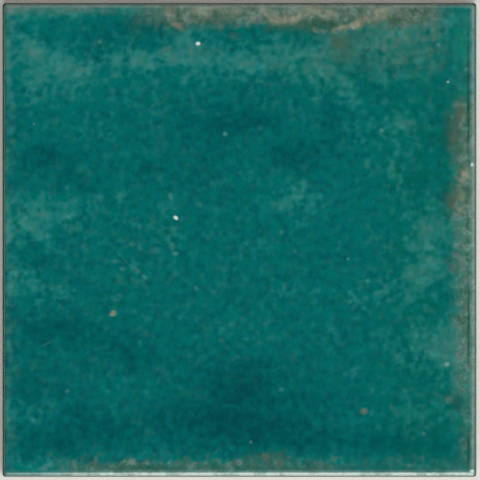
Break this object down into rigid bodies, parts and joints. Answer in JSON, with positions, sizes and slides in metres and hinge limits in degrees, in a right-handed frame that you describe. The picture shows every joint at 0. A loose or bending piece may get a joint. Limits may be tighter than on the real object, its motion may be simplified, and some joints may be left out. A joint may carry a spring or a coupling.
{
  "type": "wall tile",
  "caption": "Square glazed ceramic wall tile with a cushion-edged face, rounded arrises and a waffle-keyed back, set in adhesive to clad a wall.",
  "frame": {"origin": "middle of the back, on the plane that its border and ribs rest on", "axes": "+Z out of the glazed face, X along the tile's width and Y along its height on the wall, seen from the front"},
  "size_m": [0.15, 0.15, 0.009],
  "materials": {
    "glaze": "glossy mottled teal reactive glaze over a pale fired body",
    "biscuit": "bare pale fired clay, dry and finely grained, on the back and the foot of the sides"
  },
  "bodies": {
    "root": {"tile": "glaze"}
  },
  "joints": []
}
